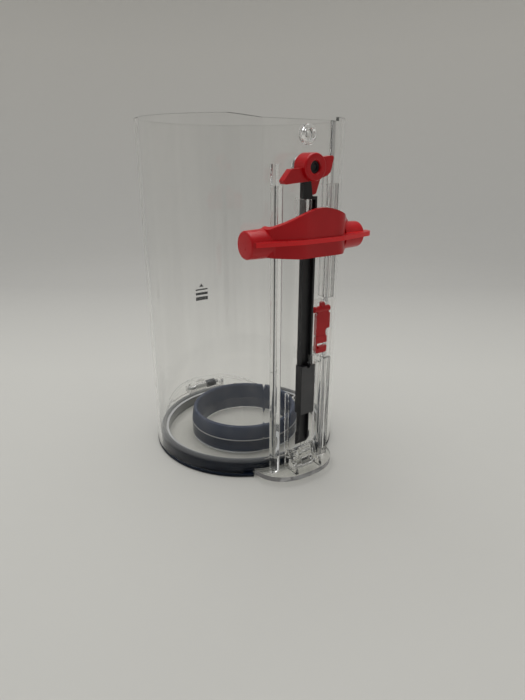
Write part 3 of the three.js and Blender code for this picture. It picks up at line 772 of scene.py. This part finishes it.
def base_seal_mesh():
    band = [(53.4, 2.5), (55.7, 2.5), (55.7, 7.2), (55.3, 8.4), (54.6, 9.4), (54.1, 9.6), (53.4, 9)]
    lip = [(54.9, 0.3), (58.3, 0.3), (58.6, 0.6), (58.6, 1.6), (58.3, 1.9), (56.2, 1.9), (55.6, 2.6),
           (54.9, 2.6)]
    gap = plan(sector_plan(TOE_SECTOR), -1, 9)
    return join(turned(filleted(band, 0.3)), cut(turned(lip), gap, arm_slot(50, 60, -1, 9)))


def collar_seal_mesh():
    profile = [(31.4, 3), (32.9, 3), (32.9, 11.5, 0.1), (34.6, 11.5, 0.4), (34.6, 18.2, 1.2), (33.6, 20, 1.0),
               (32.0, 20, 0.8), (31.4, 18.6, 0.8)]
    return turned(filleted(profile, 0.2, 6))


def catch_mesh():
    lever = filleted([(62, 11), (65, 18.4), (66.8, 18.4), (67.6, 8), (66.6, 5.9), (62.2, 6.4),
                      (61.4, 9)], 0.5)
    prong = filleted([(60.6, 15.6), (60.6, 12.8), (62, 11.8), (62.2, 8.6), (65.6, 8.6), (64, 12),
                      (63, 15.6)], 0.3)
    bridge = filleted([(61.9, 7.4), (62.3, 10.4), (66.6, 10.4), (67.4, 8), (66.6, 6), (62.2, 6.4)], 0.4)
    prongs = [sideways(prong, x, x + 1.8) for x in (-6.5, 4.7)]
    whole = join(sideways(lever, -3.6, 3.6), sideways(bridge, -7, 5.2), *prongs)
    return cut(whole, bar(CATCH_BORE, -9, 9, along_x(-CATCH_R, CATCH_Z), 32))


# ------------------------------------------------------------------ rod, handle, rocker, button
def rod_mesh():
    half, back, face = 4.0, -ROD_HIGH.y, 64.6
    foot, top, shoulder = ROD_LOW.z, ROD_HIGH.z, 158.5
    front_r = -ROD_LOW.y
    channel = cut(block(-half, half, back, face, foot, shoulder),
                  block(-2.8, 2.8, back + 1, face + 1, foot - 1, shoulder - 1.5))
    head = facing(filleted([(-half, shoulder - 0.5), (0.4, shoulder - 0.5), (-1, top), (-half, top)], 0.3),
                  back, face)
    lug = block(-3, 3, back, 66.8, 133.2, 135)
    lump = block(-4.6, 4.6, back, front_r, 40.5, 69.5)
    scoop = facing(slab(-2.4, 2.4, 66.9, 89.5, 2.3, 12), back + 1, 70)
    hole = block(-2.3, 2.3, back - 1, 65.9, 42.2, 66)
    waists = [
        facing([(s * 3.3, 27.5), (s * 6, 25.2), (s * 6, 40.5), (s * 3.3, 40.5)][::s], back - 1, face + 1)
        for s in (-1, 1)
    ]
    chamfer = sideways([(61.8, foot - 1), (66, foot - 1), (66, foot + 6.8), (61.8, foot)], -5, 5)
    return cut(join(cut(join(channel, lump), scoop), head, lug), hole, chamfer, *waists)


def handle_top(x):
    """Height of the hump's edge across its width."""
    share = min(abs(x) / 29, 1)
    return 145.3 + 8.7 * math.cos(share * math.pi / 2) ** 1.6 - 0.25 * max(-25.7 - x, 0)


def bezier(a, b, c, steps=10):
    """Points after a, up to c, on the quadratic curve with control point b."""
    ts = [(k + 1) / steps for k in range(steps)]
    return [tuple((1 - t) ** 2 * a[i] + 2 * t * (1 - t) * b[i] + t * t * c[i] for i in (0, 1)) for t in ts]


def hump_ring(inset):
    """The hump's outline in plan: flat in front, a soft right corner and a sloping left shoulder."""
    f, c, bend = 75 - inset, 14 - inset * 0.45, 4.5 - inset * 0.6
    right = [(27 - inset, -55.9), (27 - inset, -63 + inset * 0.3)]
    right += bezier(right[-1], (c + 6, -f + 6.4), (c + bend * 0.55, -f + bend * 0.62))
    right += bezier(right[-1], (c, -f), (c - bend, -f))
    side = -28 + inset
    left = [(side, -55.9), (side, -65.5)]
    left += bezier(left[-1], (side, -69.2 + inset), (side + 3, -70.2 + inset))
    left += bezier(left[-1], (-15.5 + inset * 0.3, -f + 0.2), (-9.5, -f))
    return right + left[::-1]


def wing(side):
    """A round wing on one side, with a rounded end."""
    end = (HANDLE_LOW.x, 33.6)[side > 0]
    length = abs(end) - 20
    profile = filleted([(0, 0, 0), (7.3, 0, 1.5), (7.3, length, 0), (0, length, 0)], 0, 8)
    return turned(profile, 128, lambda a, b, h: (end - side * h, -63 + a, 137.8 + b))


def fin_mesh():
    """The thin fin round the front of the grip."""
    half, nose = HANDLE_HIGH.x, HANDLE_LOW.y
    tip = [(half, -65)] + bezier((half, -65), (half + 0.3, -70.4), (34, -71.4))
    tip += bezier(tip[-1], (20, nose + 1.8), (12, nose))
    inside = [(-28, -50), (-21.2, -66), (-12.4, -72.8), (12.4, -72.8), (21.2, -66), (28, -50)]
    return cut(plan(tip + [(-x, y) for x, y in reversed(tip)], 137.5, 139.8), plan(inside, 130, 150))


def on_fin(at, out):
    """Whether a face of the handle belongs to the fin."""
    return 137.3 < at.z < 140 and -at.y > (FIN_SEAT if abs(at.x) > 27 else fin_root(at.x))


def fin_root(x):
    """How far in front of the axis the hump stands, a little outside its surface."""
    ring = [(px, 0.12 - py) for px, py in hump_ring(0)]
    for (xa, ra), (xb, rb) in zip(ring, ring[1:]):
        if xb <= x < xa:
            return rb + (ra - rb) * (x - xb) / (xa - xb)
    return FIN_SEAT


def handle_mesh():
    low = HANDLE_LOW.z
    crest = [(x, handle_top(x)) for x in [-29 + 58 * i / 64 for i in range(65)]]
    below = [(29, low + 1.2), (14, low), (-14, low), (-29, low + 1.2)]
    face = facing(crest + below, 50, 80)
    hump = cut(common(plan(hump_ring(0), 125, 160), face), plan(hump_ring(2.3), 124, 161),
               block(-21.2, 21.2, 50, 62.6, 120, 160), block(-30, -22.8, 50, 61.5, 140, 160))
    claws = []
    for s in (-1, 1):
        claws.append(block(*sorted((s * 20.5, s * 22.6)), 57.4, 66.5, 132, 144.6))
        claws.append(block(*sorted((s * 18, s * 20.8)), 57.4, 59.3, 132, 144.6))
    presser = block(-5, 5, 65.2, 73.6, 135.4, 138.4)
    return join(hump, wing(-1), wing(1), fin_mesh(), *claws, presser)


def rocker_mesh():
    def at(x, dz, r=0.5):
        return (x, ROCKER_Z + dz, r)

    right = [at(4, 4.9, 1), at(6.4, 4.6, 1), at(12.2, 4.6, 0.4), at(12.3, -0.3, 1.5), at(11.4, -2.9, 1.5),
             at(9, -4.6, 1.5), at(2, -5.6)]
    left = [at(-2, -0.6), at(-13.2, -0.8, 1), at(-17, -6.1, 0.5), at(-16.2, -7, 0.4), at(-2, -6)]
    leg = [at(-0.2, -4), at(0.9, -12.3, 0.4), at(3, -12.6, 0.8), at(5.4, -4.6)]
    ring = turned(slab(PEG_BORE, 6.1, 58.6, 67.3, 0.5), 96, along_front(0, ROCKER_Z))
    hole = bar(PEG_BORE, 57, 69, along_front(0, ROCKER_Z), 96)
    arms = join(
        facing(filleted(right), 61.6, 65.6),
        facing(filleted(left), 61.6, 65.6),
        facing(filleted(leg), 60.4, 64.4),
    )
    return join(cut(arms, hole), ring)


def peg_mesh():
    stub = bar(2, 55.9, 60, along_front(0, ROCKER_Z), 48)
    head = [(0, 58.5), (3.37, 58.5), (3.37, 65.7), (2.9, 66.3), (2.0, 66.3), (1.7, 65.6), (0, 65.5)]
    return join(stub, turned(head, 96, along_front(0, ROCKER_Z)))


def button_mesh():
    back, face, z = 59.2, 61.2, BUTTON_Z
    x0, x1 = BUTTON_LOW.x, BUTTON_HIGH.x
    middle = (x0 + x1) / 2
    trunnions = bar(1.7, x0, x1, along_x(-(back + face) / 2, z), 64, 0.4)
    plates = [
        slab(x0 + 0.6, x1 - 0.6, z - 2.1, z + 2.1, 2.0, 10),
        slab(middle - 0.3, middle + 1.3, z + 1, BUTTON_HIGH.z, 0.6),
        slab(11, 17.6, 92.5, z, 0.4),
        slab(9.8, 18.8, 83, 95.6, 0.7),
        slab(8.4, 18.6, BUTTON_LOW.z, 83.8, 2.2, 8),
    ]
    whole = join(trunnions, *[facing(outline, back, face) for outline in plates])
    notch = facing(filleted([(20, 81.7), (20, 86.3), (17, 85.7), (17, 83.6)], 0.3), back - 1, face + 1)
    slot = [block(10.5, 17.6, back - 1, face + 1, 76.4, 78.4),
            block(10.5, 11.7, back - 1, face + 1, 75, 78.4)]
    return cut(whole, notch, *slot)


# ------------------------------------------------------------------ springs
def coil(radius, wire, turns, h0, h1, place, per_turn=28, around=10):
    """Round wire along an even coil from height h0 to h1."""
    bm = bmesh.new()
    count = int(turns * per_turn)
    rings = []
    for i in range(count + 1):
        t = i / count
        a = 2 * math.pi * turns * t
        h = h0 + (h1 - h0) * t
        ring = []
        for k in range(around):
            b = 2 * math.pi * k / around
            r = radius + wire * math.cos(b)
            spot = place(r * math.cos(a), r * math.sin(a), h + wire * math.sin(b))
            ring.append(bm.verts.new(Vector(spot) * MM))
        rings.append(ring)
    for one, two in zip(rings, rings[1:]):
        for k in range(around):
            n = (k + 1) % around
            bm.faces.new((one[k], one[n], two[n], two[k]))
    bm.faces.new(rings[0])
    bm.faces.new(rings[-1])
    return closed(bm)


def on_toe_edge(at, out):
    """Whether a face belongs to the upright edge of the toe, which takes a painted light edge."""
    return 2 < at.z < 5.1 and at.y < -50 and at.xy.length > 58.6 and abs(out.z) < 0.8


# ------------------------------------------------------------------ assembly
# painted light and shade on the body's edges: a dark rim of painted shade along the top, painted highlights
# on the skirt's bottom edge and the rails' inner front roundings, painted dark lines of shade on the rails'
# outer edges and slopes
piece("dust_bin_body", shell_mesh(), "bin_body", CLEAR, ["bin_shell"], 0.22,
      patches=[(RIM_SHADE, lambda at, out: at.z > BODY_TOP - 2.5 and out.z > 0.2),
               (GLINT, lambda at, out: at.z < BODY_LOW + 0.4 and at.xy.length > BODY_R - 0.6),
               (GLINT, on_rail_glint), (LINE_SHADE, on_rail_dark_line)])
level_mark()
for guide, plastic in (("rod_guide_upper", CLEAR), ("rod_guide_lower", CLEAR_GUIDE)):
    piece("clear_" + guide, rod_guide(guide), "bin_body", plastic, [guide], 0.15)
# painted highlight on the carrier's top edge and painted light along the toe's upright edge
piece("flap_body", flap_mesh(), "flap", CLEAR_FLAP, ["base_flap"], 0.2,
      patches=[(GLINT, lambda at, out: at.z > 7.6 and out.z > 0.6 and 50 < at.xy.length < 54),
               (TOE_EDGE_LIGHT, on_toe_edge)])
piece("flap_seal", base_seal_mesh(), "flap", RUBBER, ["base_seal"], 0.12)
piece("collar_lip_seal", collar_seal_mesh(), "flap", SLATE, ["collar_seal"], 0)
# painted highlight on the clamp ring's top edge
piece("collar_clamp_ring", tube(33.2, 34.6, 2.5, 11.2, 0.3), "flap", CLEAR_RING,
      ["collar_ring"], 0, patches=[(GLINT, lambda at, out: at.z > 10.8)])
piece("catch_lever_clear", catch_mesh(), "catch_lever", CLEAR_FLAP, ["base_catch"], 0.12)
# the front face of the rod's lump takes the lighter black as painted light
piece("rod_channel", rod_mesh(), "rod", BLACK, ["pushrod"], 0.2, 3,
      patches=[(BLACK_LIT_FACE, lambda at, out: 40 < at.z < 70 and -at.y > -ROD_LOW.y - 0.5 and out.y < -0.7)])
# the fin takes the brighter red as painted light
piece("handle_grip", handle_mesh(), "handle_slider", RED, ["handle"], 0.45, 3,
      patches=[(RED_LIT_FIN, on_fin)])
piece("rocker_wings", rocker_mesh(), "rocker_arm", RED, ["rocker"], 0.3, 3)
piece("rocker_post", peg_mesh(), "bin_body", BLACK, ["rocker_peg"], 0)
piece("button_plate", button_mesh(), "button", RED, ["release_button"], 0.2, 3)
piece("hinge_rod", bar(1.6, PIN_LOW.x, PIN_HIGH.x, along_x(HINGE_Y, HINGE_Z), 64, 0.3), "bin_body",
      STEEL, ["hinge_pin"], 0)
piece("catch_rod", bar(0.8, -9.2, 9.2, along_x(-CATCH_R, CATCH_Z), 48, 0.2), "flap",
      STEEL, ["catch_pin"], 0)
piece("hinge_torsion_coil", coil(2.45, 0.45, 7, 4.4, 12.2, along_x(HINGE_Y, HINGE_Z)), "bin_body", DARK_STEEL,
      ["hinge_spring"], 0)
rod_coil = piece("rod_return_coil", coil(1.55, 0.32, 7.5, 47.3, 65.4, lambda a, b, h: (a, b - 64, h)),
                 "bin_body", STEEL, ["rod_spring"], 0)
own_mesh(rod_coil)
piece("rocker_return_coil", coil(5.2, 0.3, 2.5, 55.9, 57.8, along_front(0, ROCKER_Z)), "bin_body",
      STEEL, ["rocker_spring"], 0)
button_coil = piece("button_return_coil", coil(1.7, 0.25, 4, 55.4, 58.6, along_front(13.5, 73.6)), "bin_body",
                    STEEL, ["button_spring"], 0)
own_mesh(button_coil)
piece("catch_torsion_coil", coil(1.1, 0.18, 3, 5.6, 7.2, along_x(-CATCH_R, CATCH_Z)), "flap", STEEL,
      ["catch_spring"], 0)


# ------------------------------------------------------------------ stage, light and camera
def bowl():
    """A round floor that rises into a pale wall on every side, painted darker far off and darker still on the
    side behind the camera as painted shade.
    """
    bend = [math.radians(6 * k) for k in range(1, 16)]
    profile = [(0.001, 0.0), (0.3, 0.0), (0.7, 0.0)]
    profile += [(0.7 + 0.7 * math.sin(a), 0.7 - 0.7 * math.cos(a)) for a in bend]
    profile.append((1.4, 1.6))
    bm = bmesh.new()
    rings = [[bm.verts.new((r * math.cos(2 * math.pi * k / 96), r * math.sin(2 * math.pi * k / 96), z))
              for k in range(96)] for r, z in profile]
    for one, two in zip(rings, rings[1:]):
        for k in range(96):
            n = (k + 1) % 96
            bm.faces.new((one[k], one[n], two[n], two[k]))
    bm.faces.new(rings[0])
    mesh = closed(bm)
    mesh.polygons.foreach_set("use_smooth", [True] * len(mesh.polygons))
    floor = bpy.data.objects.new("floor", mesh)
    bpy.context.scene.collection.objects.link(floor)
    paint = Paint("paper")
    grain = paint.noise(70, 5, 0.6)
    parts = paint.add("ShaderNodeSeparateXYZ")
    paint.link(paint.place, parts.inputs["Vector"])
    sheet = paint.mix(grain, (0.61, 0.605, 0.575), (0.63, 0.625, 0.595))
    along = paint.add("ShaderNodeVectorMath", operation="DOT_PRODUCT")
    along.inputs[1].default_value = (0.563, 0.827, 0.0)
    paint.link(paint.place, along.inputs[0])
    # painted shade: the paper darkens far off, and darker still behind the camera, where the room's light
    # falls off
    far_shade = paint.remap(along.outputs["Value"], 0.10, 0.42, 0, 1)
    rise = paint.remap(parts.outputs["Z"], 0.05, 0.45, 0, 1)
    near = paint.remap(along.outputs["Value"], -0.9, -0.45, 1, 0)
    wall = paint.mix(rise, paint.mix(far_shade, sheet, (0.485, 0.48, 0.462)), (0.575, 0.561, 0.53))
    paint.feed("Base Color", paint.mix(near, wall, (0.38, 0.378, 0.366)))
    paint.feed("Roughness", paint.remap(grain, 0.3, 0.7, 0.75, 0.9))
    paint.bump(paint.noise(700, 4, 0.6), 0.08, 0.1)
    mesh.materials.append(paint.material)


def soft_light(name, place, aim, size, power, colour=(1, 1, 1)):
    light = bpy.data.lights.new(name, "AREA")
    light.shape = "RECTANGLE"
    light.size, light.size_y = size
    light.energy = power
    light.color = colour
    lamp = bpy.data.objects.new(name, light)
    bpy.context.scene.collection.objects.link(lamp)
    lamp.location = place
    lamp.rotation_euler = (Vector(aim) - Vector(place)).to_track_quat("-Z", "Y").to_euler()
    return lamp


def camera():
    lens = bpy.data.cameras.new("camera")
    lens.lens = 26.74
    lens.sensor_width = 36
    lens.clip_start = 0.01
    lens.clip_end = 20
    eye = bpy.data.objects.new("camera", lens)
    bpy.context.scene.collection.objects.link(eye)
    pitch = math.radians(20.51)
    ahead = Vector((0.5627 * math.cos(pitch), 0.8267 * math.cos(pitch), -math.sin(pitch)))
    eye.location = (-0.1692, -0.2707, 0.1774)
    eye.rotation_euler = ahead.to_track_quat("-Z", "Y").to_euler()
    bpy.context.scene.camera = eye


bowl()
camera()
soft_light("overhead", (0.05, 0.18, 1.25), (0, 0, 0), (1.3, 1.1), 10.6, (1.0, 0.99, 0.97))
side_light = soft_light("left_window", (-1.0, 0.3, 0.75), (0, 0, 0.1), (0.5, 0.9), 0.7)
side_light.visible_glossy = False
world = bpy.data.worlds.new("room")
world.use_nodes = True
world.node_tree.nodes["Background"].inputs["Color"].default_value = (0.96, 0.98, 1.0, 1)
world.node_tree.nodes["Background"].inputs["Strength"].default_value = 0.43
scene = bpy.context.scene
scene.world = world
scene.view_settings.view_transform = "Standard"
scene.cycles.max_bounces = 24
scene.cycles.transmission_bounces = 24
scene.cycles.glossy_bounces = 24
scene.cycles.diffuse_bounces = 4
scene.cycles.transparent_max_bounces = 32
scene.cycles.caustics_reflective = False
scene.cycles.caustics_refractive = False
scene.cycles.blur_glossy = 0.5
scene.cycles.use_denoising = True
